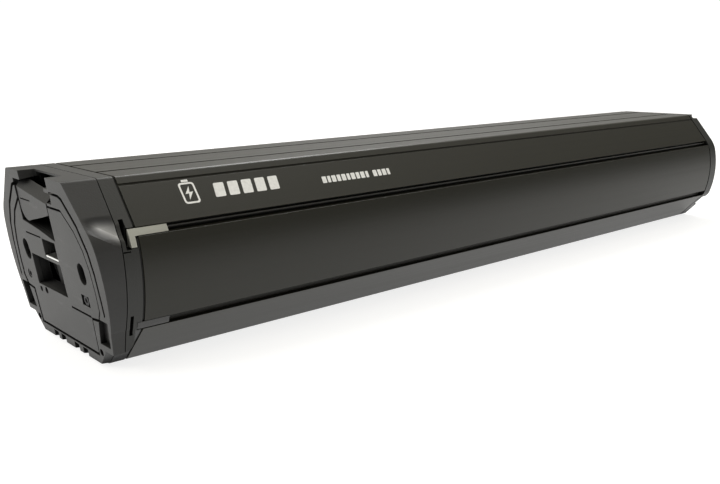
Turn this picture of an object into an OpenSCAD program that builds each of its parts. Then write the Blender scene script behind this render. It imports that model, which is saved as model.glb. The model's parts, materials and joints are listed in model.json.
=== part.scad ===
// Long battery pack that slides into the down tube of an electric bicycle.
// X runs along the pack, from the slanted near end (-X) to the connector end (+X).
// Z is up, and the origin is at the middle of the flat bottom.

/* [Pack] */
// Length over both end caps
pack_l = 416; // [414:1:420]
// Wall thickness of the extruded tube
wall = 2.6; // [2.2:0.1:2.8]
// Tilt of the near end face, top edge forwards, in degrees
face_tilt = 8; // [7:0.5:8.5]

/* [Section] */
// Half the width of the flat bottom
bottom_hw = 24; // [22:0.5:25]
// Half the width of the ribbed top
top_hw = 25; // [24:0.5:26]
// Radius of the bulged sides
side_r = 50; // [48:1:60]
// Width of the two drainage slots along the top
rib_slot_w = 1.8; // [1.2:0.1:2.2]
// Depth of the two drainage slots along the top
rib_slot_d = 1.0; // [0.6:0.1:1.2]

/* [Cells] */
// Diameter of one cell
cell_d = 18.4; // [18.2:0.1:18.5]
// Length of one cell without its button
cell_l = 64.2; // [63:0.1:64.5]
// Distance between the starts of two banks
bank_pitch = 67; // [66.6:0.1:67.4]

/* [Catch] */
// Diameter of the pin that the retaining catch turns on
pin_d = 3; // [2.5:0.1:3.2]
// Radial clearance of the catch on its pin
pin_clearance = 0.05; // [0.03:0.01:0.08]

/* [Button] */
// Diameter of the power button
button_d = 10; // [9:0.5:11]
// How far the power button can be pressed in
button_travel = 1.2; // [0.8:0.1:1.4]

/* [Hidden] */
$fn = 48;

// Lengthwise stations, measured from the near end's top edge
near_x = -pack_l / 2;
far_x = pack_l / 2;
cap_back_x = near_x + 12;
collar_x = cap_back_x + 0.3;
tube_x = near_x + 18.6;
tube_end_x = far_x - 8;
skirt_l = 8;
cell_x = near_x + 31;

// Corners of the section: half width and height of each
top_z = 65;
side_hw = 42;
side_z = 32.45;
shoulder = [37.7, 49.8];
side_top_z = 46.8;
side_bottom_z = 18.1;
heel = [38.6, 15];
side_steps = 16;
// Where the slopes would meet the sides if there were no grooves
cap_shoulder = [39.7, 47.4];
cap_heel = [39.1, 15.5];
cap_side_z = [20, 43.5];
bottom_round = 2.5;
top_round = 1.8;
heel_round = 6;
shoulder_round = 16;

// The four lengthwise grooves: floor half width, bottom and top height
upper_groove = [34.8, 46.8, 49.6];
lower_groove = [35.8, 15, 18.1];
groove_lobe = 1.9;
// Screw ports inside the tube, beside the grooves
ports = [[31.2, 48.2], [33, 17]];
port_r = 2.7;
port_hole_r = 1.2;
// Head radius, head height and shank radius of the screws that close the tube
cap_screw = [2.7, 1.8, 1.15];
// Thin ridge along the floor of the upper groove, past the clips
ridge_hw = 37.2;
ridge_z = [47.9, 48.5];
// Fine ledge below the top edges
ledge = [27.3, 62.3];
rib_y = 11;

function side_y(z) = side_hw - side_r + sqrt(side_r * side_r - (z - side_z) * (z - side_z));
function side_arc(z0, z1) = [for (i = [0:side_steps])
    let (z = z0 + (z1 - z0) * i / side_steps) [side_y(z), z]];
function both(half) = concat(half, [for (i = [len(half) - 1:-1:0]) [-half[i][0], half[i][1]]]);
function unit(v) = v / norm(v);

// Points of the arc that rounds corner b between its neighbours a and c
function round_corner(a, b, c, r) = let (u = unit(a - b), v = unit(c - b), half = acos(u * v) / 2,
    centre = b + unit(u + v) * r / sin(half), w0 = b + u * r / tan(half) - centre,
    w1 = b + v * r / tan(half) - centre, turn = 180 - 2 * half)
    [for (i = [0:6]) centre + (w0 * sin(turn * (1 - i / 6)) + w1 * sin(turn * i / 6)) / sin(turn)];

bottom_corner = [bottom_hw, 0];
top_corner = [top_hw, top_z];
bottom_arc = round_corner([0, 0], bottom_corner, heel, bottom_round);
top_arc = round_corner(shoulder, top_corner, [0, top_z], top_round);
cap_side = side_arc(cap_side_z[0], cap_side_z[1]);

// The section with sharp corners, which the cavity follows
outline = both(concat([bottom_corner, heel], side_arc(side_bottom_z, side_top_z), [shoulder, top_corner]));
tube_outline = both(concat(bottom_arc, [heel], side_arc(side_bottom_z, side_top_z), [shoulder], top_arc));
cap_outline = both(concat(bottom_arc,
    round_corner(bottom_corner, cap_heel, cap_side[0], heel_round), cap_side,
    round_corner(cap_side[side_steps], cap_shoulder, top_corner, shoulder_round), top_arc));

// Every edge of a counter-clockwise outline moves inwards by k
function inward(a, b) = let (t = unit(b - a)) [-t[1], t[0]];
function meet(p, d, q, e) = p + d * cross(q - p, e) / cross(d, e);
function inset(pts, k) = let (n = len(pts)) [for (i = [0:n - 1])
    let (a = pts[(i + n - 1) % n], b = pts[i], c = pts[(i + 1) % n])
    meet(a + inward(a, b) * k, b - a, b + inward(b, c) * k, c - b)];

module along_x(x0, x1) {
    translate([x0, 0, 0]) rotate([90, 0, 90]) linear_extrude(x1 - x0) children();
}

// A block by its lowest and highest corner
module block(low, high) {
    translate(low) cube(high - low);
}

// A cylinder along X
module rod(x0, x1, y, z, r) {
    translate([x0, y, z]) rotate([0, 90, 0]) cylinder(r = r, h = x1 - x0);
}

module sides() {
    children();
    mirror([0, 1, 0]) children();
}

module groove_block(g, x0, x1, grow) {
    sides() block([x0, g[0] - grow, g[1] - grow], [x1, side_hw + 2, g[2] + grow]);
}

module grooves(x0, x1, grow) {
    groove_block(upper_groove, x0, x1, grow);
    groove_block(lower_groove, x0, x1, grow);
}

module port_rods(x0, x1, r) {
    for (p = ports)
        sides() rod(x0, x1, p[0], p[1], r);
}

// Solid that fills the tube's cavity, less a gap all round
module core(x0, x1, gap) {
    difference() {
        along_x(x0, x1) polygon(inset(outline, wall + gap));
        grooves(x0 - 1, x1 + 1, groove_lobe + gap);
        port_rods(x0 - 1, x1 + 1, port_r + gap);
    }
}

// Round wire that follows a path
module sweep(path, r, sides) {
    last = len(path) - 1;
    points = [for (i = [0:last])
        let (t = unit(path[min(i + 1, last)] - path[max(i - 1, 0)]),
            u = unit(cross(t, [0, 0.2, 1])), v = cross(t, u))
        each [for (k = [0:sides - 1]) path[i] + r * (u * cos(360 * k / sides) + v * sin(360 * k / sides))]];
    walls = [for (i = [0:last - 1]) each [for (k = [0:sides - 1])
        let (a = i * sides + k, b = i * sides + (k + 1) % sides) [a, a + sides, b + sides, b]]];
    start_cap = [for (k = [0:sides - 1]) k];
    end_cap = [for (k = [sides - 1:-1:0]) last * sides + k];
    polyhedron(points = points, faces = concat(walls, [start_cap], [end_cap]));
}

module screw(x, y, z, head_r, head_h, shank_r, length) {
    difference() {
        rod(x, x + head_h, y, z, head_r);
        translate([x - 0.01, y, z]) rotate([0, 90, 0]) cylinder(r = head_r * 0.55, h = head_h * 0.6, $fn = 6);
    }
    rod(x + head_h - 0.01, x + length, y, z, shank_r);
}

// Tube -------------------------------------------------------------

module housing_tube() {
    color("#474741") difference() {
        along_x(tube_x, tube_end_x) polygon(tube_outline);
        difference() {
            grooves(tube_x - 1, tube_end_x + 1, 0);
            sides() block([tube_x - 2, upper_groove[0] - 1, ridge_z[0]],
                [tube_end_x + 2, ridge_hw, ridge_z[1]]);
        }
        core(tube_x - 1, tube_end_x + 1, 0);
        port_rods(tube_x - 1, tube_end_x + 1, port_hole_r);
        sides() block([tube_x - 1, rib_y - rib_slot_w / 2, top_z - rib_slot_d],
            [tube_end_x + 1, rib_y + rib_slot_w / 2, top_z + 1]);
        sides() translate([tube_x - 1, ledge[0], ledge[1]]) rotate([-50, 0, 0])
            translate([0, -0.5, -0.6]) cube([pack_l, 1, 1.2]);
    }
}

// Near end ---------------------------------------------------------

// Everything on the near face is laid out on the slanted plane
module on_face() {
    translate([near_x, 0, top_z]) rotate([0, -face_tilt, 0]) translate([0, 0, -top_z]) children();
}

module face_prism(points, depth0, depth1) {
    along_x(depth0, depth1) polygon(points);
}

plate_half = [[24.6, 4.6], [25.4, 18], [31, 18.6], [33, 22], [33, 29], [32.2, 36], [30.2, 42.4], [26.2, 48.2],
    [19, 54]];
plate_t = 2;
plate_gap = 0.9;
catch_pocket = [[19.95, 45.8], [19.95, 61.6], [-8.6, 61.6], [-8.6, 54.6], [-7.7, 54.4], [-7.7, 41.8],
    [5.5, 44.1]];
recess_depth = 4;
side_recess = [[-8, 55.8], [-8, 59.7], [-13.4, 59.6], [-12.6, 55.8]];
catch_depth = 7.4;
catch_pivot = [14.4, 51.4];
catch_boss_r = 5.2;
catch_arm = [[14.4, 46.2], [-0.2, 49.4], [-6.4, 51], [-6.4, 61.2], [12, 61.2], [19.2, 60.2], [19.5, 51.4]];
catch_front = 0.4;
pin_front = 1.8;
catch_back = 6.6;
pad_z = 55.9;
pad_slope = 42;
pad_lean = 6;
pad_back = 3.8;
window = [-6.4, 34, 5.2, 41];
window_depth = 14;
// Notch in the top edge that a finger reaches the catch through
notch_y = [-12, 13];
hollow = [[near_x + 3.1, -11.7, 57.3], [near_x + 10.8, 12.7, top_z - 0.8]];
ramp_y = [-8, 9, 19.4];
ramp_z = [21, 33];
ramp_depth = 5.4;
ramp_hole = [12, 21, 19.4, 33];
hole_depth = 11;
kidneys = [[[23.2, 32.6], [23.9, 35.2]], [[-25.4, 32.3], [-25.1, 34.6]]];
kidney_r = 2.7;
kidney_depth = 6.6;
plate_screws = [[27, 23.4], [-23.4, 23.5]];
plate_screw_l = 10;
square_hole = [-26.4, 21.6, -20.4, 25.4];
square_depth = 1.1;
guide_channel = [[28.4, 9.2], [36.2, 9.2], [37.8, 18.8], [31.2, 18.8]];
channel_depths = [4.4, 2];
// Lug that carries each guide channel down past the lower slope
lug = [[28, 7.6], [37.2, 7.6], [39.6, 18.6], [35, 20]];
lug_end_x = near_x + 15.4;
lug_round = 4;
foot_notches = [11, 4.4, -7.5, -15];
foot_notch_w = 4;
scoop_r = 11;
scoop_axis = [47, 57];
scoop_l = 16.6;
corner_hole = [27.6, 5.6, 1.3];
bead_path = [[13, 60.3], [20.4, 60.1], [22.8, 59.3], [30.6, 51.4], [35.2, 43], [36.8, 36], [37.4, 27],
    [37.6, 21.4]];
bead_w = [1.1, 0.9];

function rect(b) = [[b[0], b[1]], [b[2], b[1]], [b[2], b[3]], [b[0], b[3]]];

// Round-ended slot between two points
module slot(ends, r, depth) {
    aside = r * inward(ends[0], ends[1]);
    for (p = ends)
        rod(-1, depth, p[0], p[1], r);
    face_prism([ends[0] + aside, ends[0] - aside, ends[1] - aside, ends[1] + aside], -1, depth);
}

// Pocket whose floor climbs from its deep end to the plate's surface
module ramp_pocket(grow) {
    translate([0, 0, ramp_z[0] - grow]) linear_extrude(ramp_z[1] - ramp_z[0] + 2 * grow)
        polygon([[-1, ramp_y[0] - grow], [0, ramp_y[0] - grow], [ramp_depth + grow, ramp_y[1]],
            [ramp_depth + grow, ramp_y[2] + grow], [-1, ramp_y[2] + grow]]);
}

// Closed outline of the fine bead groove, a path and its copy moved inwards
module bead_groove() {
    sides() face_prism(concat(bead_path,
        [for (i = [len(bead_path) - 1:-1:0]) bead_path[i] - bead_w]), -1, 2);
}

// Hollowed shoulders, deepest beside the collar's slots
module shoulder_scoops() {
    sides() translate([near_x - 1, scoop_axis[0], scoop_axis[1]]) rotate([0, 100, 0])
        cylinder(r = scoop_r, h = scoop_l);
}

// Both lugs between two stations, rounded at their far lower corner
module lugs(x0, x1) {
    sides() intersection() {
        along_x(x0, x1) polygon(lug);
        union() {
            block([x0, 20, 7], [lug_end_x - lug_round, 45, 21]);
            block([x0, 20, lug[0][1] + lug_round], [lug_end_x, 45, 21]);
            translate([lug_end_x - lug_round, 20, lug[0][1] + lug_round]) rotate([-90, 0, 0])
                cylinder(r = lug_round, h = 25);
        }
    }
}

module near_cap() {
    color("#6a6a68") difference() {
        intersection() {
            union() {
                along_x(near_x - 1, cap_back_x) polygon(cap_outline);
                lugs(near_x, cap_back_x);
            }
            on_face() block([0, -60, -20], [40, 60, 90]);
        }
        on_face() {
            face_prism(inset(both(plate_half), -plate_gap), -1, plate_t + 0.2);
            face_prism(catch_pocket, -1, catch_depth);
            block([-1, notch_y[0], top_z - 4], [6, notch_y[1], top_z + 5]);
            face_prism(rect(window), -1, window_depth);
            face_prism(rect(ramp_hole), -1, hole_depth);
            ramp_pocket(0.2);
            for (k = kidneys)
                slot(k, kidney_r, kidney_depth);
            face_prism(side_recess, -1, recess_depth);
            bead_groove();
            face_prism(guide_channel, -1, channel_depths[0]);
            mirror([0, 1, 0]) face_prism(guide_channel, -1, channel_depths[1]);
            sides() rod(-1, 3, corner_hole[0], corner_hole[1], corner_hole[2]);
            for (s = plate_screws)
                rod(0, 20, s[0], s[1], 1.4);
            rod(0, catch_depth + 1.8, catch_pivot[0], catch_pivot[1], pin_d / 2);
            for (y = foot_notches)
                block([-1, y, -5], [3, y + foot_notch_w, 3.2]);
            // Underside rises a little towards the face
            translate([0, 0, 0.6]) rotate([0, 18, 0]) block([-5, -60, -10], [20, 60, 0]);
        }
        // The notch in the top edge opens into a hollow under the top wall
        block(hollow[0], hollow[1]);
        shoulder_scoops();
    }
}

module face_plate() {
    color("#72726f") on_face() difference() {
        face_prism(both(plate_half), 0.15, plate_t + 0.15);
        face_prism(catch_pocket, -1, 9);
        face_prism(rect(window), -1, 9);
        ramp_pocket(0);
        for (k = kidneys)
            slot(k, kidney_r, 9);
        face_prism(rect(square_hole), -1, square_depth);
        for (s = plate_screws) {
            rod(-1, 9, s[0], s[1], 1.4);
            rod(-1, square_depth, s[0], s[1], 1.85);
        }
        rod(-1, 9, 18.2, 19, 1.1);
        rod(-1, 1.6, 13, 19.4, 1.3);
        block([-1, -25.2, 17.6], [0.9, -9, 18.4]);
        block([-1, 6, 40.8], [0.8, 20, 41.4]);
    }
}

module face_plate_screws() {
    color("#8a8a88") on_face() for (s = plate_screws)
        screw(square_depth - 0.75, s[0], s[1], 1.8, 0.75, 1.2, plate_screw_l);
}

module retaining_catch() {
    color("#7a7a76") on_face() difference() {
        union() {
            rod(catch_front, catch_back, catch_pivot[0], catch_pivot[1], catch_boss_r);
            face_prism(catch_arm, catch_front, catch_back);
        }
        // Sloped pad that a finger presses from above
        translate([catch_front, 0, pad_z]) rotate([pad_lean, -pad_slope, 0])
            block([-20, -30, 0], [40, 40, 30]);
        block([pad_back, -30, catch_pivot[1] + 1.6], [40, 40, 80]);
        block([-1, 9, 53.9], [catch_front + 0.6, 18.4, 54.4]);
        rod(pin_front, 20, catch_pivot[0], catch_pivot[1], pin_d / 2 + pin_clearance);
    }
}

module catch_pin() {
    color("#c9c9c6") on_face() {
        rod(pin_front + 0.1, catch_depth + 1.6, catch_pivot[0], catch_pivot[1], pin_d / 2);
    }
}

spring_y = -2.6;
spring_depth = 4.4;
spring_r = 1.5;
spring_wire_r = 0.28;
spring_z = [43.1, 49.3];
spring_turns = 5;
spring_rings = spring_turns * 12;

function coil_at(t) = [spring_depth + spring_r * cos(360 * spring_turns * t),
    spring_y + spring_r * sin(360 * spring_turns * t), spring_z[0] + (spring_z[1] - spring_z[0]) * t];

module catch_spring() {
    color("#b9bab8") on_face()
        sweep([for (i = [0:spring_rings]) coil_at(i / spring_rings)], spring_wire_r, 8);
}

strike_t = 0.8;
strike_back = 6.8;

// Bent strip under the window, where the lock's bolt lands
module strike_plate() {
    color("#d5d6d4") on_face() {
        block([0.3, window[0] + 0.2, window[1]], [strike_back, window[2] - 0.2, window[1] + strike_t]);
        block([strike_back - strike_t, window[0] + 0.2, window[1]],
            [strike_back, window[2] - 0.2, window[1] + 2.4]);
    }
}

past_side = side_hw + 8;
// Slots in the corners of the collar, and seats of the clips beside them
collar_slots = [[[near_x + 13.6, 33.4, 43], [near_x + 15.3, past_side, 52.4]],
    [[near_x + 13.4, 37, 13.6], [near_x + 14.6, past_side, 20.8]]];
clip_seats = [[[near_x + 15.2, 36.2, 43.3], [tube_x, past_side, 49.7]],
    [[near_x + 16, lower_groove[0], 15.1], [tube_x, past_side, 18.1]]];
step_z = [42.2, 42.7];

module near_collar() {
    color("#4c4d4e") difference() {
        union() {
            along_x(collar_x, tube_x - 0.1) polygon(cap_outline);
            lugs(collar_x, tube_x - 1);
            core(tube_x - 0.2, tube_x + skirt_l, 0.3);
        }
        // Hollow skirt, open towards the cells
        core(collar_x + 3, tube_x + skirt_l + 1, 2.4);
        port_rods(collar_x - 1, tube_x + 1, 1.6);
        port_rods(collar_x - 1, collar_x + 2.4, 2.9);
        on_face() for (s = plate_screws)
            rod(3, 20, s[0], s[1], 1.25);
        sides() {
            for (b = concat(collar_slots, clip_seats))
                block(b[0], b[1]);
            // Fine step under the upper slot
            block([collar_x - 1, side_y(step_z[0]) - 0.7, step_z[0]], [near_x + 15, past_side, step_z[1]]);
        }
        shoulder_scoops();
        // Seat of the gasket
        difference() {
            along_x(tube_x - 0.9, tube_x) polygon(inset(outline, -3));
            core(tube_x - 2, tube_x + 1, 0.3);
        }
    }
}

module near_collar_screws() {
    color("#9b9b98") for (p = ports)
        sides() screw(collar_x + 0.4, p[0], p[1], cap_screw[0], cap_screw[1], cap_screw[2], 15);
}

module gasket(x0, x1) {
    difference() {
        along_x(x0, x1) polygon(inset(outline, 0.5));
        core(x0 - 1, x1 + 1, 0);
        grooves(x0 - 1, x1 + 1, 0.4);
        port_rods(x0 - 1, x1 + 1, 1.5);
    }
}

module near_gasket() {
    color("#1c1c1c") gasket(tube_x - 0.8, tube_x - 0.05);
}

clip_end_x = [near_x + 29.7, near_x + 28];

// Clips that close the near ends of the grooves: a leg on the collar and an arm in the groove
module groove_clips() {
    color("#85857c") intersection() {
        along_x(near_x + 15, near_x + 30) polygon(inset(cap_outline, 0.15));
        sides() {
            block([near_x + 15.5, ridge_hw + 0.3, 43.5], [near_x + 17.5, 45, 49.3]);
            block([near_x + 16.6, ridge_hw + 0.3, 47], [clip_end_x[0], 45, 49.3]);
            block([near_x + 16.2, lower_groove[0] + 0.3, 15.3], [clip_end_x[1], 45, 17.9]);
        }
    }
}

// Far end ----------------------------------------------------------

shroud = [-17, 20, 17, 38];
shroud_wall = 2;
shroud_depth = 16;
button_at = [-19, 47];
display = [-11, 43.4, 23, 48.6];
vent_at = [26, 30];
vent_r = 5;
led_count = 5;
led_pitch = 6;

module far_cap() {
    color("#3c3d3e") difference() {
        union() {
            along_x(tube_end_x + 0.1, far_x) polygon(cap_outline);
            core(tube_end_x - skirt_l, tube_end_x + 0.2, 0.3);
        }
        core(tube_end_x - skirt_l - 1, far_x - 3, 2.4);
        port_rods(tube_end_x - 1, far_x + 1, 1.6);
        port_rods(far_x - 2.6, far_x + 1, 2.9);
        along_x(far_x - 20, far_x + 1) polygon(rect(shroud));
        rod(far_x - 20, far_x + 1, button_at[0], button_at[1], button_d / 2 + 0.3);
        along_x(far_x - 1.2, far_x + 1) polygon(rect(display));
        for (i = [0:led_count - 1])
            rod(far_x - 20, far_x, display[0] + 5 + i * led_pitch, 46, 1.3);
        rod(far_x - 1.2, far_x + 1, vent_at[0], vent_at[1], vent_r);
        rod(far_x - 20, far_x, vent_at[0], vent_at[1], 1.5);
        // Notches at the upper corners
        sides() block([far_x - 4.6, 23.4, top_z - 2.2], [far_x + 1, 40, top_z + 1]);
        sides() block([far_x - 4, 30.6, 7.6], [far_x + 1, 37, 14]);
        difference() {
            along_x(tube_end_x, tube_end_x + 0.9) polygon(inset(outline, -3));
            core(tube_end_x - 2, tube_end_x + 2, 0.3);
        }
    }
}

module far_cap_screws() {
    color("#9b9b98") for (p = ports)
        sides() translate([far_x - 0.6, p[0], p[1]]) mirror([1, 0, 0])
            screw(0, 0, 0, cap_screw[0], cap_screw[1], cap_screw[2], 17);
}

module far_gasket() {
    color("#1c1c1c") gasket(tube_end_x + 0.05, tube_end_x + 0.8);
}

module connector_shroud() {
    color("#2a2b2c") difference() {
        along_x(far_x - shroud_depth - 2, far_x - 0.2) polygon(inset(rect(shroud), 0.1));
        along_x(far_x - shroud_depth, far_x + 1) polygon(inset(rect(shroud), shroud_wall));
        // Keyway along the top wall
        block([far_x - shroud_depth, -3, shroud[3] - 3], [far_x + 1, 3, shroud[3] - 1]);
        for (y = [-11, 11])
            block([far_x - 30, y - 0.8, 24], [far_x, y + 0.8, 34]);
        for (i = [0:3])
            rod(far_x - 30, far_x, -4.5 + i * 3, 29, 0.7);
    }
}

module power_blades() {
    color("#c8a24a") for (y = [-11, 11])
        block([far_x - shroud_depth - 8, y - 0.75, 24.1], [far_x - 5, y + 0.75, 33.9]);
}

module signal_pins() {
    color("#d3b15c") for (i = [0:3])
        rod(far_x - shroud_depth - 6, far_x - 6, -4.5 + i * 3, 29, 0.65);
}

module vent_membrane() {
    color("#e4e4e0") rod(far_x - 1.15, far_x - 0.6, vent_at[0], vent_at[1], vent_r - 0.15);
}

button_flange = far_x - 3.1;
switch_x = far_x - 13;
switch_top = switch_x + 3.2;

module power_button() {
    color("#8c8d8c") {
        rod(button_flange, far_x - 0.3, button_at[0], button_at[1], button_d / 2);
        rod(button_flange - 1, button_flange + 0.01, button_at[0], button_at[1], button_d / 2 + 1.2);
        rod(switch_top + button_travel + 0.1, button_flange - 0.9, button_at[0], button_at[1], 1.6);
    }
}

module light_guides() {
    color("#dfe8dc") for (i = [0:led_count - 1])
        rod(far_x - 9.4, far_x - 1.25, display[0] + 5 + i * led_pitch, 46, 1.2);
}

module display_window() {
    color("#1d2022") along_x(far_x - 1.15, far_x - 0.3) polygon(inset(rect(display), 0.15));
}

module switch_board() {
    color("#2f6b45") along_x(switch_x, switch_x + 1.2) polygon(rect([-25, 41, 22, 51.5]));
    color("#303030") block([switch_x + 1.2, button_at[0] - 3, button_at[1] - 3],
        [switch_top, button_at[0] + 3, button_at[1] + 3]);
    color("#e8e8d8") for (i = [0:led_count - 1])
        block([switch_x + 1.2, display[0] + 4 + i * led_pitch, 45.2],
            [switch_x + 2, display[0] + 6 + i * led_pitch, 46.8]);
}

// Inside -----------------------------------------------------------

row_z = [16.2, 32.5, 48.8];
cell_places = [[-19, row_z[0]], [0, row_z[0]], [19, row_z[0]],
    [-28.5, row_z[1]], [-9.5, row_z[1]], [9.5, row_z[1]], [28.5, row_z[1]],
    [-19, row_z[2]], [0, row_z[2]], [19, row_z[2]]];
bank_count = 5;
holder_l = 7;
link_t = 0.3;
left_chain = [[0, row_z[2]], [19, row_z[2]], [28.5, row_z[1]], [9.5, row_z[1]], [19, row_z[0]]];
right_chain = [for (p = left_chain) p[0] == 0 ? [0, row_z[0]] : [-p[0], row_z[2] + row_z[0] - p[1]]];

function bank_x(i) = cell_x + i * bank_pitch;

module cell_bank(i) {
    color(i % 2 == 0 ? "#5c8f79" : "#5a7f9c") for (p = cell_places) {
        rod(bank_x(i), bank_x(i) + cell_l, p[0], p[1], cell_d / 2);
        rod(bank_x(i) + cell_l - 0.01, bank_x(i) + cell_l + 0.6, p[0], p[1], 3.2);
    }
}

module cell_bank_1() cell_bank(0);
module cell_bank_2() cell_bank(1);
module cell_bank_3() cell_bank(2);
module cell_bank_4() cell_bank(3);
module cell_bank_5() cell_bank(4);

// Channels for the foam pads and the sensor ribbon
module pad_channels(x0, x1) {
    block([x0, -17, 58.2], [x1, 6, top_z]);
    block([x0, -17, 0], [x1, 17, 6.6]);
}

module cell_holders() {
    color("#3f4042") for (i = [0:bank_count - 1])
        for (x = [bank_x(i) + 0.2, bank_x(i) + cell_l - holder_l - 0.2])
            difference() {
                core(x, x + holder_l, 0.7);
                pad_channels(x - 1, x + holder_l + 1);
                for (p = cell_places)
                    rod(x - 1, x + holder_l + 1, p[0], p[1], cell_d / 2 + 0.1);
            }
}

// Flat strip between two cell centres
module link_bar(a, b, w) {
    d = b - a;
    translate(a) rotate(atan2(d[1], d[0])) translate([0, -w / 2]) square([norm(d), w]);
}

module link_plate(chain) {
    for (i = [0:len(chain) - 2])
        link_bar(chain[i], chain[i + 1], 7);
    for (p = chain)
        translate(p) circle(r = 4.6);
}

module nickel_links() {
    color("#b8b9b5") for (i = [0:bank_count - 1])
        for (x = [bank_x(i) - link_t - 0.02, bank_x(i) + cell_l + 0.62]) {
            along_x(x, x + link_t) link_plate(left_chain);
            along_x(x, x + link_t) link_plate(right_chain);
        }
}

module insulating_sheets() {
    color("#d9d2b0") for (i = [0:bank_count])
        difference() {
            core(bank_x(i) - 1.45, bank_x(i) - 1.0, 1.2);
            pad_channels(bank_x(i) - 2, bank_x(i));
        }
}

module foam_pads() {
    color("#5a5a60") {
        block([bank_x(0) + 10, -16, 59], [bank_x(0) + 320, -8, 62]);
        block([bank_x(0) + 10, -16, 3], [bank_x(0) + 320, 16, 6.4]);
    }
}

bms_x = bank_x(bank_count) + 6;

module bms_board() {
    color("#24563b") difference() {
        core(bms_x, bms_x + 1.6, 1.5);
        for (y = [-22, 22])
            rod(bms_x - 1, bms_x + 3, y, 9, 1.7);
    }
}

mosfet_pitch = 9;

module bms_components() {
    color("#202122") {
        for (i = [-2:2])
            block([bms_x + 1.6, i * mosfet_pitch - 3.2, 9], [bms_x + 4, i * mosfet_pitch + 3.2, 17]);
        block([bms_x + 1.6, -8, 42], [bms_x + 3, 8, 54]);
        block([bms_x + 1.6, 14, 40], [bms_x + 3.2, 22, 48]);
    }
    color("#c9c9c9") for (y = [-26, -19])
        rod(bms_x + 1.6, bms_x + 10, y, 38, 3);
    color("#e6e3d6") block([bms_x + 1.6, -10, 56], [bms_x + 6, 10, 60]);
}

module heat_spreader() {
    color("#b4b6b8") difference() {
        block([bms_x + 4.1, -26, 8], [bms_x + 7, 26, 18]);
        for (i = [-6:6])
            block([bms_x + 5.6, i * 4 - 0.8, 7], [bms_x + 8, i * 4 + 0.8, 19]);
    }
}

module main_fuse() {
    color("#c8742c") block([bms_x + 1.6, 26, 26], [bms_x + 8, 32, 38]);
    color("#bdbdbb") for (z = [23.5, 38])
        block([bms_x + 1.6, 27, z], [bms_x + 2.6, 31, z + 2.5]);
}

lead_r = 1.9;
lead_steps = 14;
shroud_back_x = far_x - shroud_depth - 8;

// Smooth curve that leaves its start and meets its end along X
function swing(a, b, t) = [a[0] + (b[0] - a[0]) * t, a[1] + (b[1] - a[1]) * (3 - 2 * t) * t * t,
    a[2] + (b[2] - a[2]) * (3 - 2 * t) * t * t];

module lead(a, b) {
    sweep([for (i = [0:lead_steps]) swing(a, b, i / lead_steps)], lead_r, 12);
}

module positive_lead() {
    color("#a8262a") lead([bms_x + 2, 27, 20], [shroud_back_x - 0.4, 11, 29]);
}

module negative_lead() {
    color("#1b1b1c") lead([bms_x + 2, -28, 26], [shroud_back_x - 0.4, -11, 29]);
}

module sensor_ribbon() {
    color("#d8d4c4") {
        block([bank_x(0) + 2, -5, 59.4], [bms_x - 1, 5, 60]);
        for (i = [0:bank_count])
            block([bank_x(i) - 0.95, -1.5, 58.4], [bank_x(i) - 0.5, 1.5, 59.5]);
    }
}

housing_tube();
near_collar();
near_collar_screws();
near_gasket();
groove_clips();
near_cap();
face_plate();
face_plate_screws();
retaining_catch();
catch_pin();
catch_spring();
strike_plate();
far_cap();
far_cap_screws();
far_gasket();
connector_shroud();
power_blades();
signal_pins();
vent_membrane();
power_button();
light_guides();
display_window();
switch_board();
bms_board();
bms_components();
heat_spreader();
main_fuse();
positive_lead();
negative_lead();
sensor_ribbon();
cell_holders();
cell_bank_1();
cell_bank_2();
cell_bank_3();
cell_bank_4();
cell_bank_5();
nickel_links();
insulating_sheets();
foam_pads();
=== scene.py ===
import json
import math

import bmesh
import bpy
from mathutils import Matrix, Vector


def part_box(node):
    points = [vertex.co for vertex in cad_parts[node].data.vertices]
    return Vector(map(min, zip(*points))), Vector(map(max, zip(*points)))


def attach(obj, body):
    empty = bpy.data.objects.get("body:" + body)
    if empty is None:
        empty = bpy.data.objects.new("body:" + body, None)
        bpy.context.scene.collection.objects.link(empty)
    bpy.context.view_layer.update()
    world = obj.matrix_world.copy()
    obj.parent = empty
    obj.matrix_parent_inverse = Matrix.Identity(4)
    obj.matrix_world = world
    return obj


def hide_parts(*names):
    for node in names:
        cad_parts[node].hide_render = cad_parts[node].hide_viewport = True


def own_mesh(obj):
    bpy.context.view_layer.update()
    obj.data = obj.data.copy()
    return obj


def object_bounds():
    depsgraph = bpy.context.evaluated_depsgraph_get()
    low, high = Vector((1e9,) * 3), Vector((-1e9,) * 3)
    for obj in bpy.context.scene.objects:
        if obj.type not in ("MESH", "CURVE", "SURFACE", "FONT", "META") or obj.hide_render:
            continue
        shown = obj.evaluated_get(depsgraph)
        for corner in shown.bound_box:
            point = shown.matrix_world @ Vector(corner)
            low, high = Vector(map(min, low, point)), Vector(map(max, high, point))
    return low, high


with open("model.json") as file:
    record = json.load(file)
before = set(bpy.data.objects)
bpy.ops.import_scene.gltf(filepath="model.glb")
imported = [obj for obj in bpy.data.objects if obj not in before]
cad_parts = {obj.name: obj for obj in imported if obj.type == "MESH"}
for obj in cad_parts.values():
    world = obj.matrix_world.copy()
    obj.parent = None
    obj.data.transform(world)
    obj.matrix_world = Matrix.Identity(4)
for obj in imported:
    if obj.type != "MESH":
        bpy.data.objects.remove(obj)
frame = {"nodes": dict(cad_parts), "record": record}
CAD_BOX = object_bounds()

MM = 0.001
NODES = frame["nodes"]
LOW, HIGH = (Vector(c) for c in CAD_BOX)
MIDDLE_Z = (LOW.z + HIGH.z) / 2


# Shader helpers --------------------------------------------------------------


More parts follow.
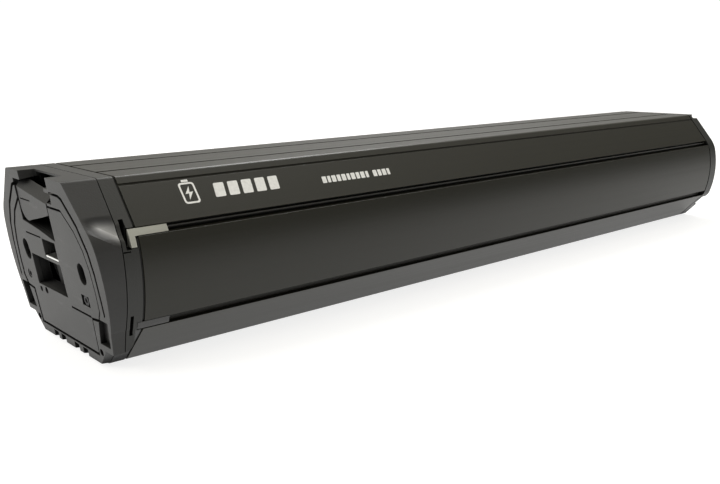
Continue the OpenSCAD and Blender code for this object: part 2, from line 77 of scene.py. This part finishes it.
class Maker:
    """Builds one material's node tree around a Principled shader."""

    def __init__(self, name, **sockets):
        self.material = bpy.data.materials.new(name)
        self.material.use_nodes = True
        self.tree = self.material.node_tree
        self.shader = self.tree.nodes["Principled BSDF"]
        for socket, value in sockets.items():
            self.shader.inputs[socket.replace("_", " ")].default_value = value
        self.place = self.node("ShaderNodeTexCoord").outputs["Object"]

    def node(self, kind, **settings):
        made = self.tree.nodes.new(kind)
        for key, value in settings.items():
            setattr(made, key, value)
        return made

    def link(self, source, target):
        self.tree.links.new(source, target)

    def stretched(self, scale):
        """The object's own coordinates, scaled along each axis."""
        mapping = self.node("ShaderNodeMapping")
        mapping.inputs["Scale"].default_value = scale
        self.link(self.place, mapping.inputs["Vector"])
        return mapping.outputs["Vector"]

    def noise(self, scale, stretch=(1, 1, 1), detail=4.0, rough=0.55):
        made = self.node("ShaderNodeTexNoise")
        made.inputs["Scale"].default_value = scale
        made.inputs["Detail"].default_value = detail
        made.inputs["Roughness"].default_value = rough
        self.link(self.stretched(stretch), made.inputs["Vector"])
        return made.outputs["Fac"]

    def cells(self, scale, stretch=(1, 1, 1), feature="F1"):
        made = self.node("ShaderNodeTexVoronoi", feature=feature)
        made.inputs["Scale"].default_value = scale
        self.link(self.stretched(stretch), made.inputs["Vector"])
        return made.outputs["Distance"]

    def ramp(self, factor, stops):
        made = self.node("ShaderNodeValToRGB")
        ramp = made.color_ramp
        while len(ramp.elements) < len(stops):
            ramp.elements.new(0.5)
        for element, (where, colour) in zip(ramp.elements, stops):
            element.position = where
            element.color = (*colour, 1) if len(colour) == 3 else colour
        self.link(factor, made.inputs["Fac"])
        return made.outputs["Color"]

    def between(self, factor, low, high):
        """Maps a 0 to 1 factor onto a range."""
        made = self.node("ShaderNodeMapRange")
        made.inputs["To Min"].default_value = low
        made.inputs["To Max"].default_value = high
        self.link(factor, made.inputs["Value"])
        return made.outputs["Result"]

    def sum(self, a, b, operation="ADD", clamp=False):
        made = self.node("ShaderNodeMath", operation=operation, use_clamp=clamp)
        for socket, value in zip(made.inputs, (a, b)):
            if isinstance(value, (int, float)):
                socket.default_value = value
            else:
                self.link(value, socket)
        return made.outputs["Value"]

    def mix(self, factor, a, b, blend="MIX"):
        made = self.node("ShaderNodeMix", data_type="RGBA", blend_type=blend)
        for socket, value in ((made.inputs[0], factor), (made.inputs[6], a), (made.inputs[7], b)):
            if isinstance(value, (int, float)):
                socket.default_value = value
            elif isinstance(value, tuple):
                socket.default_value = (*value, 1)
            else:
                self.link(value, socket)
        return made.outputs[2]

    def edges(self, radius):
        """1 on worn outer edges, 0 on flats, from how much a bevel would turn the normal."""
        bevel = self.node("ShaderNodeBevel", samples=6)
        bevel.inputs["Radius"].default_value = radius
        geometry = self.node("ShaderNodeNewGeometry")
        dot = self.node("ShaderNodeVectorMath", operation="DOT_PRODUCT")
        self.link(bevel.outputs["Normal"], dot.inputs[0])
        self.link(geometry.outputs["Normal"], dot.inputs[1])
        return self.ramp(dot.outputs["Value"], [(0.80, (1, 1, 1)), (0.985, (0, 0, 0))])

    def cavities(self, distance):
        """1 in the open, towards 0 deep inside recesses, for painting shade into them."""
        shade = self.node("ShaderNodeAmbientOcclusion", samples=8)
        shade.inputs["Distance"].default_value = distance
        return shade.outputs["AO"]

    def above(self, height):
        """1 above a height in the object's own coordinates, 0 below it."""
        split = self.node("ShaderNodeSeparateXYZ")
        self.link(self.place, split.inputs["Vector"])
        return self.sum(split.outputs["Z"], height, "GREATER_THAN")

    def bump(self, height, distance, strength=1.0, under=None):
        made = self.node("ShaderNodeBump")
        made.inputs["Strength"].default_value = strength
        made.inputs["Distance"].default_value = distance
        self.link(height, made.inputs["Height"])
        if under:
            self.link(under, made.inputs["Normal"])
        return made.outputs["Normal"]

    def colour(self, source):
        self.link(source, self.shader.inputs["Base Color"])

    def rough(self, source):
        self.link(source, self.shader.inputs["Roughness"])

    def normal(self, source):
        self.link(source, self.shader.inputs["Normal"])


def tint(colour, k):
    return tuple(min(1.0, c * k) for c in colour)


# Materials -------------------------------------------------------------------

# Near-black painted into recesses as painted shade
PAINTED_SHADE = (0.006, 0.006, 0.006)


def anodised(name, colour, rough=0.38, grain=0.5):
    """Fine-blasted dark anodised extrusion: dust-fine grain, faint die lines, light edge wear."""
    m = Maker(name, Specular_IOR_Level=0.34)
    cloud = m.noise(9, (0.4, 1.6, 1.6), 5)
    speck = m.noise(2600, (1, 1, 1), 2)
    lines = m.noise(700, (0.006, 1, 1), 3)
    base = m.ramp(cloud, [(0.25, tint(colour, 0.84)), (0.55, colour), (0.8, tint(colour, 1.2))])
    base = m.mix(m.between(speck, 0.0, 0.35), base, tint(colour, 1.6))
    worn = m.sum(m.edges(0.0009), m.noise(160, (1, 1, 1), 4), "MULTIPLY")
    base = m.mix(m.between(worn, 0.0, 0.5), base, tint(colour, 3.0))
    m.colour(base)
    m.rough(m.sum(m.between(cloud, rough - 0.05, rough + 0.07), m.between(lines, -0.05, 0.05)))
    m.normal(m.bump(speck, 0.00004, grain, m.bump(lines, 0.00003, 0.35)))
    return m.material


# Hollow in each shoulder of the near cap, in metres: its lip starts at this height at the face and
# falls by this much per metre towards the collar
LIP_HEIGHT, LIP_FALL = 0.0512, 0.6
LIP_W, HOLLOW_W, HOLLOW_DEPTH = 0.0035, 0.012, 0.003
# Distances over which the hollow fades in, out from the middle plane and back from the face
HOLLOW_ASIDE, HOLLOW_ALONG = (0.034, 0.037), (LOW.x + 0.001, LOW.x + 0.007)
# How much paler than the moulding the hollow's lip is painted, as a painted highlight
PAINTED_LIP_HIGHLIGHT = 12


def shoulder_hollow(m):
    """1 just above the hollow's lip, fading out up the slope and towards the face."""
    split = m.node("ShaderNodeSeparateXYZ")
    m.link(m.place, split.inputs["Vector"])
    x, y, z = split.outputs
    above_lip = m.sum(z, m.sum(m.sum(x, LOW.x, "SUBTRACT"), LIP_FALL, "MULTIPLY"), "ADD")
    across = m.sum(m.sum(above_lip, LIP_HEIGHT, "SUBTRACT"), HOLLOW_W, "DIVIDE")
    dip = m.ramp(across, [(0.0, (0, 0, 0)), (LIP_W / HOLLOW_W, (1, 1, 1)), (1.0, (0, 0, 0))])
    for value, (low, high) in ((m.sum(y, 0, "ABSOLUTE"), HOLLOW_ASIDE), (x, HOLLOW_ALONG)):
        fade = m.node("ShaderNodeMapRange", interpolation_type="SMOOTHSTEP")
        fade.inputs["From Min"].default_value = low
        fade.inputs["From Max"].default_value = high
        m.link(value, fade.inputs["Value"])
        dip = m.sum(dip, fade.outputs["Result"], "MULTIPLY")
    return dip


def moulded(name, colour, rough=0.55, grain=0.6, spec=0.4, recess_shade=0.0, low_colour=None, hollow=None):
    """Spark-textured moulded plastic: fine pebble, soft mottling, paler edges, a few handling marks.

    Pieces below the pack's middle take low_colour, where it is given: painted shade below and a
    painted highlight above on one moulding. A hollow gives the places that are sunk and painted
    paler as a painted highlight on its lip. Recesses can be darkened as painted shade."""
    m = Maker(name, Specular_IOR_Level=spec)
    pebble = m.cells(1900, (1, 1, 1), "SMOOTH_F1")
    cloud = m.noise(38, (1, 1, 1), 5)
    rub = m.noise(220, (1, 0.25, 1), 5, 0.65)
    base = m.ramp(cloud, [(0.25, tint(colour, 0.88)), (0.75, tint(colour, 1.1))])
    worn = m.sum(m.edges(0.0006), m.between(rub, 0.35, 1.0), "MULTIPLY")
    base = m.mix(m.between(worn, 0.0, 0.45), base, tint(colour, 1.9))
    scuff = m.ramp(rub, [(0.60, (0, 0, 0)), (0.72, (1, 1, 1))])
    base = m.mix(m.between(scuff, 0.0, 0.10), base, tint(colour, 1.6))
    # Painted light: below the middle the moulding takes low_colour as painted shade, and the colour
    # above stands for its lit side
    if low_colour:
        base = m.mix(m.above(MIDDLE_Z), low_colour, base)
    sunk = None
    if hollow:
        dip = hollow(m)
        # Painted highlight: the hollow's lip is painted many times paler than the moulding
        base = m.mix(m.sum(dip, 2, "POWER"), base, tint(colour, PAINTED_LIP_HIGHLIGHT))
        sunk = m.bump(m.sum(1.0, dip, "SUBTRACT"), HOLLOW_DEPTH)
    # Painted shade: recesses found by ambient occlusion are darkened towards near-black and their
    # specular is turned down
    if recess_shade:
        open_air = m.ramp(m.cavities(0.007), [(0.35, (0, 0, 0)), (0.78, (1, 1, 1))])
        base = m.mix(m.between(open_air, recess_shade, 0.0), base, PAINTED_SHADE)
        m.link(m.between(open_air, spec * (1 - recess_shade), spec), m.shader.inputs["Specular IOR Level"])
    m.colour(base)
    m.rough(m.sum(m.between(cloud, rough - 0.05, rough + 0.07), m.between(scuff, 0.0, -0.08)))
    m.normal(m.bump(pebble, 0.00005, grain, sunk))
    return m.material


def metal(name, colour, rough=0.3, stretch=(1, 1, 1), metallic=1.0):
    """Drawn or pressed metal: brushed lines, slight staining, brighter edges."""
    m = Maker(name, Metallic=metallic)
    brush = m.noise(1800, stretch, 3)
    stain = m.noise(160, (1, 1, 1), 5)
    base = m.ramp(stain, [(0.3, tint(colour, 0.8)), (0.7, tint(colour, 1.05))])
    m.colour(m.mix(m.between(m.edges(0.0003), 0.0, 0.5), base, tint(colour, 1.3)))
    m.rough(m.sum(m.between(brush, rough - 0.06, rough + 0.08), m.between(stain, 0.0, 0.08)))
    m.normal(m.bump(brush, 0.00002, 0.5))
    return m.material


def rubber(name, colour, rough=0.75):
    """Dusty matt rubber or foam."""
    m = Maker(name, Specular_IOR_Level=0.3)
    dust = m.noise(60, (1, 1, 1), 6)
    fine = m.noise(1500, (1, 1, 1), 2)
    m.colour(m.ramp(dust, [(0.3, tint(colour, 0.85)), (0.8, tint(colour, 1.5))]))
    m.rough(m.between(dust, rough - 0.08, rough + 0.08))
    m.normal(m.bump(fine, 0.00006, 0.6))
    return m.material


def glossy(name, colour, rough=0.18, coat=0.3, wave=0.2):
    """Smooth plastic film, wrap or coating, slightly uneven."""
    m = Maker(name, Coat_Weight=coat, Coat_Roughness=0.1)
    soft = m.noise(45, (1, 1, 1), 3)
    fine = m.noise(420, (1, 1, 1), 4)
    m.colour(m.ramp(soft, [(0.3, tint(colour, 0.88)), (0.7, tint(colour, 1.1))]))
    m.rough(m.between(fine, rough - 0.04, rough + 0.08))
    m.normal(m.bump(soft, 0.0004, wave))
    return m.material


def clear(name, colour):
    """Clear moulded plastic, slightly clouded."""
    m = Maker(name, Transmission_Weight=0.7, IOR=1.49)
    fine = m.noise(300, (1, 1, 1), 4)
    m.colour(m.ramp(fine, [(0.3, tint(colour, 0.92)), (0.7, colour)]))
    m.rough(m.between(fine, 0.08, 0.2))
    return m.material


def fibrous(name, colour):
    """Paper, membrane or fibre sheet."""
    m = Maker(name, Specular_IOR_Level=0.2)
    fibre = m.noise(900, (1, 0.3, 1), 6, 0.7)
    m.colour(m.ramp(fibre, [(0.3, tint(colour, 0.85)), (0.7, tint(colour, 1.06))]))
    m.rough(m.between(fibre, 0.75, 0.92))
    m.normal(m.bump(fibre, 0.00006, 0.7))
    return m.material


def board(name, colour):
    """Coated circuit board with fine tracks under the mask."""
    m = Maker(name, Coat_Weight=0.4, Coat_Roughness=0.2)
    tracks = m.node("ShaderNodeTexBrick")
    tracks.inputs["Scale"].default_value = 120
    tracks.inputs["Mortar Size"].default_value = 0.06
    m.link(m.stretched((1, 1, 1)), tracks.inputs["Vector"])
    mask = tracks.outputs["Fac"]
    m.colour(m.mix(mask, colour, tint(colour, 1.9)))
    m.rough(m.between(m.noise(300), 0.3, 0.45))
    m.normal(m.bump(mask, 0.00003, 0.8))
    return m.material


def paint(name, colour):
    """Screen-printed ink, slightly uneven."""
    m = Maker(name, Specular_IOR_Level=0.35)
    fine = m.noise(900, (1, 1, 1), 5)
    m.colour(m.ramp(fine, [(0.25, tint(colour, 0.86)), (0.6, colour)]))
    m.rough(m.between(fine, 0.45, 0.6))
    m.normal(m.bump(fine, 0.00002, 0.5))
    return m.material


FINISH = {
    "anodised_tube": anodised("anodised_tube", (0.0158, 0.0154, 0.0112)),
    "cap_plastic": moulded("cap_plastic", (0.034, 0.034, 0.0335), 0.45, spec=0.25, recess_shade=0.92,
                           hollow=shoulder_hollow),
    "collar_plastic": moulded("collar_plastic", (0.029, 0.0295, 0.028), 0.42, spec=0.3, recess_shade=0.85),
    # Painted light on the clips: above the pack's middle they are painted pale as a painted
    # highlight, below it near-black as painted shade
    "clip_plastic": moulded("clip_plastic", (0.37, 0.37, 0.33), 0.5, recess_shade=0.5,
                            low_colour=(0.05, 0.05, 0.05)),
    "seal_rubber": rubber("seal_rubber", (0.012, 0.012, 0.012)),
    "screw_steel": metal("screw_steel", (0.5, 0.5, 0.49), 0.35),
    "black_steel": metal("black_steel", (0.045, 0.045, 0.046), 0.5),
    "strike_steel": metal("strike_steel", (0.86, 0.86, 0.84), 0.3, (1, 0.05, 1)),
    "contact_brass": metal("contact_brass", (0.85, 0.66, 0.34), 0.28, (0.05, 1, 1)),
    "nickel": metal("nickel", (0.66, 0.65, 0.62), 0.34, (1, 0.1, 1)),
    "membrane": fibrous("membrane", (0.78, 0.78, 0.75)),
    "clear_plastic": clear("clear_plastic", (0.82, 0.88, 0.8)),
    "smoked_window": glossy("smoked_window", (0.012, 0.013, 0.015), 0.12),
    "board_green": board("board_green", (0.02, 0.11, 0.055)),
    "chip_black": moulded("chip_black", (0.02, 0.02, 0.02), 0.45, 0.3),
    "spreader_metal": metal("spreader_metal", (0.62, 0.63, 0.64), 0.38, (1, 0.05, 1)),
    "fuse_body": glossy("fuse_body", (0.5, 0.2, 0.05), 0.3),
    "lead_red": glossy("lead_red", (0.36, 0.02, 0.02), 0.35, 0.1),
    "lead_black": glossy("lead_black", (0.015, 0.015, 0.015), 0.35, 0.1),
    "ribbon": glossy("ribbon", (0.6, 0.5, 0.3), 0.3, 0.2),
    "holder_plastic": moulded("holder_plastic", (0.04, 0.04, 0.043), 0.5),
    "cell_wrap_a": glossy("cell_wrap_a", (0.04, 0.2, 0.12), 0.25, 0.3),
    "cell_wrap_b": glossy("cell_wrap_b", (0.04, 0.13, 0.26), 0.25, 0.3),
    "insulator": fibrous("insulator", (0.6, 0.52, 0.33)),
    "foam": rubber("foam", (0.05, 0.05, 0.055), 0.85),
}
SLOT_OF = {s["node"]: s["material_slot"] for s in frame["record"]["subparts"]}


# Carried-over CAD nodes --------------------------------------------------------

BEVEL_MM = {
    "housing_tube": 0.25, "near_cap": 0.45, "near_collar": 0.3, "face_plate": 0.2,
    "retaining_catch": 0.45, "far_cap": 0.5, "groove_clips": 0.3, "connector_shroud": 0.3,
    "power_button": 0.5, "strike_plate": 0.15, "near_collar_screws": 0.15, "far_cap_screws": 0.15,
    "face_plate_screws": 0.12, "power_blades": 0.25, "bms_components": 0.2, "main_fuse": 0.4,
    "heat_spreader": 0.15, "cell_bank_1": 0.5, "cell_bank_2": 0.5, "cell_bank_3": 0.5,
    "cell_bank_4": 0.5, "cell_bank_5": 0.5, "foam_pads": 0.5,
}


WELD_GAP = 0.000002
FLAT_ANGLE, EDGE_ANGLE = math.radians(0.4), math.radians(28)


def refine(node, bevel_mm):
    """Joins the imported triangles into whole faces and rounds the edges."""
    weld = node.modifiers.new("weld", "WELD")
    weld.merge_threshold = WELD_GAP
    flat = node.modifiers.new("flat", "DECIMATE")
    flat.decimate_type = "DISSOLVE"
    flat.angle_limit = FLAT_ANGLE
    bevel = node.modifiers.new("round", "BEVEL")
    bevel.width = bevel_mm * MM
    bevel.segments = 3
    bevel.limit_method = "ANGLE"
    bevel.angle_limit = EDGE_ANGLE
    bevel.miter_outer = "MITER_ARC"
    bevel.harden_normals = False
    smooth = node.modifiers.new("normals", "WEIGHTED_NORMAL")
    smooth.keep_sharp = True
    smooth.weight = 80


for name, node in NODES.items():
    node.data.materials.clear()
    node.data.materials.append(FINISH[SLOT_OF[name]])
    for polygon in node.data.polygons:
        polygon.use_smooth = True
    if name in BEVEL_MM:
        refine(node, BEVEL_MM[name])


# Printed marks ------------------------------------------------------------------

# The near slope, from its foot beside the groove up to the top edge, as part.scad has it
SLOPE_FOOT = Vector((0, -37.7, 49.8)) * MM
SLOPE_UP = Vector((0, 12.7, 15.2)).normalized()
SLOPE_OUT = Vector((0, -15.2, 12.7)).normalized()
INK_SUNK, INK_PROUD = -0.01, 0.03
EMBLEM_AT = (42.7, 10.3)
LEAN = math.tan(math.radians(9))
# Five bars and then a row of dashes, in mm along and up the slope
BAR_COUNT, BAR_START, BAR_PITCH, BAR_UP, BAR_SIZE = 5, 54.9, 5.9, 9.7, (4.3, 5.8)
DASH_COUNT, DASH_START, DASH_UP, DASH_TALL = 14, 100.6, 8.0, 3.0
DASH_WIDTHS = (2.1, 1.5, 2.1, 1.8)
DASH_GAP, WIDE_GAP, WIDE_GAP_AFTER = 0.65, 2.6, 10


def on_slope(x, up, out):
    """A point x mm from the near end, up mm up the slope and out mm off it."""
    return Vector((LOW.x + x * MM, 0, 0)) + SLOPE_FOOT + SLOPE_UP * up * MM + SLOPE_OUT * out * MM


def rounded(width, height, radius, steps=5):
    """Corners of a rounded rectangle about the origin, counter-clockwise."""
    corners = ((1, -1, -90), (1, 1, 0), (-1, 1, 90), (-1, -1, 180))
    loop = []
    for sx, sy, start in corners:
        for step in range(steps + 1):
            turn = math.radians(start + 90 * step / steps)
            loop.append((sx * (width / 2 - radius) + radius * math.cos(turn),
                         sy * (height / 2 - radius) + radius * math.sin(turn)))
    return loop


def shifted(loop, dx, dy, lean=0.0):
    return [(x + dx + lean * y, y + dy) for x, y in loop]


def print_patch(mesh, loop):
    """A thin raised patch of ink inside one loop."""
    low = [mesh.verts.new(on_slope(x, y, INK_SUNK)) for x, y in loop]
    high = [mesh.verts.new(on_slope(x, y, INK_PROUD)) for x, y in loop]
    mesh.faces.new(high)
    mesh.faces.new(low[::-1])
    for i in range(len(loop)):
        j = (i + 1) % len(loop)
        mesh.faces.new((low[i], low[j], high[j], high[i]))


def print_ring(mesh, outer, inner):
    """A thin raised band of ink between two loops with the same number of corners."""
    edges = ((outer, INK_SUNK), (outer, INK_PROUD), (inner, INK_PROUD), (inner, INK_SUNK))
    rows = [[mesh.verts.new(on_slope(x, y, out)) for x, y in loop] for loop, out in edges]
    for k, row in enumerate(rows):
        after = rows[(k + 1) % 4]
        for i in range(len(row)):
            j = (i + 1) % len(row)
            mesh.faces.new((row[i], row[j], after[j], after[i]))


def finished(made, name, material, body):
    """Turns a bmesh into a piece that rides on a body."""
    mesh = bpy.data.meshes.new(name)
    made.to_mesh(mesh)
    made.free()
    mesh.materials.append(material)
    piece = bpy.data.objects.new(name, mesh)
    bpy.context.scene.collection.objects.link(piece)
    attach(piece, body)
    return piece


def add_marks():
    """Generic marks: a battery pictogram, a row of leaning bars and a row of small dashes."""
    made = bmesh.new()
    x, y = EMBLEM_AT
    print_ring(made, shifted(rounded(6.2, 8.6, 1.2), x, y - 0.4),
               shifted(rounded(4.8, 7.2, 0.7), x, y - 0.4))
    print_patch(made, shifted(rounded(2.6, 0.9, 0.2), x, y + 4.6))
    bolt = [(0.7, 2.5), (-1.6, -0.5), (-0.2, -0.4), (-0.8, -3.0), (1.6, 0.2), (0.2, 0.1)]
    print_patch(made, shifted(bolt, x, y - 0.2))
    for k in range(BAR_COUNT):
        print_patch(made, shifted(rounded(*BAR_SIZE, 0.5), BAR_START + BAR_PITCH * k, BAR_UP, LEAN))
    end = DASH_START
    for k in range(DASH_COUNT):
        width = DASH_WIDTHS[k % len(DASH_WIDTHS)]
        end += width + (WIDE_GAP if k == WIDE_GAP_AFTER else DASH_GAP)
        print_patch(made, shifted(rounded(width, DASH_TALL, 0.3), end - width / 2, DASH_UP, LEAN))
    bmesh.ops.recalc_face_normals(made, faces=made.faces)
    finished(made, "printed_marks", paint("white_ink", (0.82, 0.82, 0.8)), "pack")


add_marks()


# Catch spring -------------------------------------------------------------------

FACE_TILT = math.radians(8)
COIL_TURNS, COIL_STEPS, WIRE_SIDES = 5, 28, 10
WIRE_R = 0.26 * MM
# How much flatter the end turns are wound, and how much of its length the spring keeps when pressed
COIL_EASE, COIL_KEEP = 0.10, 0.5


def add_catch_spring():
    """A wound spring in the CAD spring's place."""
    low, high = (Vector(c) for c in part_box("catch_spring"))
    up = Vector((-math.sin(FACE_TILT), 0, math.cos(FACE_TILT)))
    out = Vector((math.cos(FACE_TILT), 0, math.sin(FACE_TILT)))
    aside = Vector((0, 1, 0))
    radius = (high.y - low.y) / 2 - WIRE_R
    tall = (high.z - low.z) / math.cos(FACE_TILT) - 2 * WIRE_R - 2 * radius * math.tan(FACE_TILT)
    foot = (low + high) / 2 - up * tall / 2
    made = bmesh.new()
    rings = []
    count = COIL_TURNS * COIL_STEPS
    for k in range(count + 1):
        part = k / count
        rise = part - COIL_EASE * math.sin(2 * math.pi * part)
        turn = 2 * math.pi * COIL_TURNS * part
        spoke = out * math.cos(turn) + aside * math.sin(turn)
        centre = foot + spoke * radius + up * tall * rise
        rings.append([made.verts.new(centre + WIRE_R * (spoke * math.cos(a) + up * math.sin(a)))
                      for a in (2 * math.pi * i / WIRE_SIDES for i in range(WIRE_SIDES))])
    for ring, after in zip(rings, rings[1:]):
        for i in range(WIRE_SIDES):
            j = (i + 1) % WIRE_SIDES
            made.faces.new((ring[i], ring[j], after[j], after[i]))
    made.faces.new(rings[0][::-1])
    made.faces.new(rings[-1])
    bmesh.ops.recalc_face_normals(made, faces=made.faces)
    for face in made.faces:
        face.smooth = True
    steel = metal("spring_wire", (0.55, 0.55, 0.54), 0.28, (0.2, 1, 1))
    coil = finished(made, "catch_coil", steel, "pack")
    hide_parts("catch_spring")
    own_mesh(coil)


add_catch_spring()


# Stage -------------------------------------------------------------------------


def plain(name, colour, rough=0.6, glow=0.0):
    """Even colour for the stage."""
    m = Maker(name, Emission_Color=(1, 1, 1, 1), Emission_Strength=glow)
    m.shader.inputs["Base Color"].default_value = (*colour, 1)
    m.shader.inputs["Roughness"].default_value = rough
    return m.material


FLOOR_HALF, FLOOR_GREY, FLOOR_GLOW = 6, (0.35, 0.35, 0.35), 0.8
# The floor lies just under the pack, so that the two don't share a plane
FLOOR_GAP = 0.0002


def add_floor():
    """A pale floor that glows a little, so that it stays white under the pack."""
    made = bmesh.new()
    bmesh.ops.create_grid(made, x_segments=1, y_segments=1, size=FLOOR_HALF)
    mesh = bpy.data.meshes.new("floor")
    made.to_mesh(mesh)
    made.free()
    floor = bpy.data.objects.new("floor", mesh)
    floor.location.z = LOW.z - FLOOR_GAP
    bpy.context.scene.collection.objects.link(floor)
    mesh.materials.append(plain("floor_white", FLOOR_GREY, glow=FLOOR_GLOW))


def area_light(name, place, target, size, power, colour=(1, 1, 1)):
    light = bpy.data.lights.new(name, "AREA")
    light.shape = "RECTANGLE"
    light.size, light.size_y = size
    light.energy = power
    light.color = colour
    lamp = bpy.data.objects.new(name, light)
    lamp.location = place
    lamp.rotation_euler = (Vector(target) - Vector(place)).to_track_quat("-Z", "Y").to_euler()
    bpy.context.scene.collection.objects.link(lamp)


# Strengths of the world behind the camera, ahead of it at the horizon, just above that, and overhead
BEHIND, BACKDROP, LOW_SKY, OVERHEAD = 0.15, 1.05, 0.35, 0.87
WARM_SKY = (1, 0.965, 0.85)


def add_world():
    """A bright studio ahead of the camera and warmer overhead, dark behind the camera."""
    world = bpy.data.worlds.new("studio")
    world.use_nodes = True
    tree = world.node_tree
    direction = tree.nodes.new("ShaderNodeTexCoord").outputs["Generated"]

    def spread(axis, low, high):
        dot = tree.nodes.new("ShaderNodeVectorMath")
        dot.operation = "DOT_PRODUCT"
        dot.inputs[1].default_value = axis
        tree.links.new(direction, dot.inputs[0])
        ramp = tree.nodes.new("ShaderNodeMapRange")
        ramp.interpolation_type = "SMOOTHSTEP"
        ramp.inputs["From Min"].default_value = low
        ramp.inputs["From Max"].default_value = high
        tree.links.new(dot.outputs["Value"], ramp.inputs["Value"])
        return ramp.outputs["Result"]

    def blend(factor, low, high):
        made = tree.nodes.new("ShaderNodeMapRange")
        for name, value in (("Value", factor), ("To Min", low), ("To Max", high)):
            if isinstance(value, float):
                made.inputs[name].default_value = value
            else:
                tree.links.new(value, made.inputs[name])
        return made.outputs["Result"]

    ahead = spread((-0.3, 0.954, 0), -0.35, 0.0)
    above_horizon = spread((0, 0, 1), 0.09, 0.2)
    overhead = spread((0, 0, 1), 0.4, 0.75)
    horizon = blend(ahead, BEHIND, BACKDROP)
    low_sky = blend(above_horizon, horizon, blend(ahead, BEHIND, LOW_SKY))
    background = tree.nodes["Background"]
    warmth = tree.nodes.new("ShaderNodeMix")
    warmth.data_type = "RGBA"
    warmth.inputs[6].default_value = (1, 1, 1, 1)
    warmth.inputs[7].default_value = (*WARM_SKY, 1)
    tree.links.new(above_horizon, warmth.inputs[0])
    tree.links.new(warmth.outputs[2], background.inputs["Color"])
    tree.links.new(blend(overhead, low_sky, OVERHEAD), background.inputs["Strength"])
    bpy.context.scene.world = world


def add_lights():
    """A key on the near end, a broad soft light overhead, and a small one for the near shoulder."""
    near_end = (LOW.x, 0, 0.03)
    near_shoulder = (LOW.x + 0.008, -0.039, 0.047)
    area_light("key", (-1.5, 0.45, 0.8), near_end, (0.7, 0.7), 12.5, (1, 0.985, 0.95))
    area_light("over", (0.2, 0.2, 1.5), (0, 0, 0), (1.6, 1.2), 3, (1, 0.98, 0.94))
    area_light("glint", (0.38, 0.35, 0.78), near_shoulder, (0.4, 0.4), 5)


# The camera's place from the near end's middle, in metres, and its turn, dip and roll in degrees
CAMERA_EYE = Vector((-0.10057, -0.28315, 0.10365))
CAMERA_ANGLES = (41.46, 12.77, -0.41)
CAMERA_LENS, CAMERA_SENSOR = 41.15, 36


def add_camera():
    """A 41 mm lens from the front left, a little above the pack."""
    camera = bpy.data.cameras.new("camera")
    camera.lens = CAMERA_LENS
    camera.sensor_width = CAMERA_SENSOR
    camera.clip_start = 0.01
    turn, dip, roll = (math.radians(angle) for angle in CAMERA_ANGLES)
    ahead = Vector((math.sin(turn) * math.cos(dip), math.cos(turn) * math.cos(dip), -math.sin(dip)))
    level = ahead.cross(Vector((0, 0, 1))).normalized()
    upright = level.cross(ahead)
    right = level * math.cos(roll) + upright * math.sin(roll)
    up = upright * math.cos(roll) - level * math.sin(roll)
    seat = bpy.data.objects.new("camera", camera)
    seat.matrix_world = Matrix((right, up, -ahead)).transposed().to_4x4()
    seat.location = Vector((LOW.x, 0, 0)) + CAMERA_EYE
    bpy.context.scene.collection.objects.link(seat)
    bpy.context.scene.camera = seat


add_floor()
add_world()
add_lights()
add_camera()
bpy.context.scene.view_settings.view_transform = "Standard"
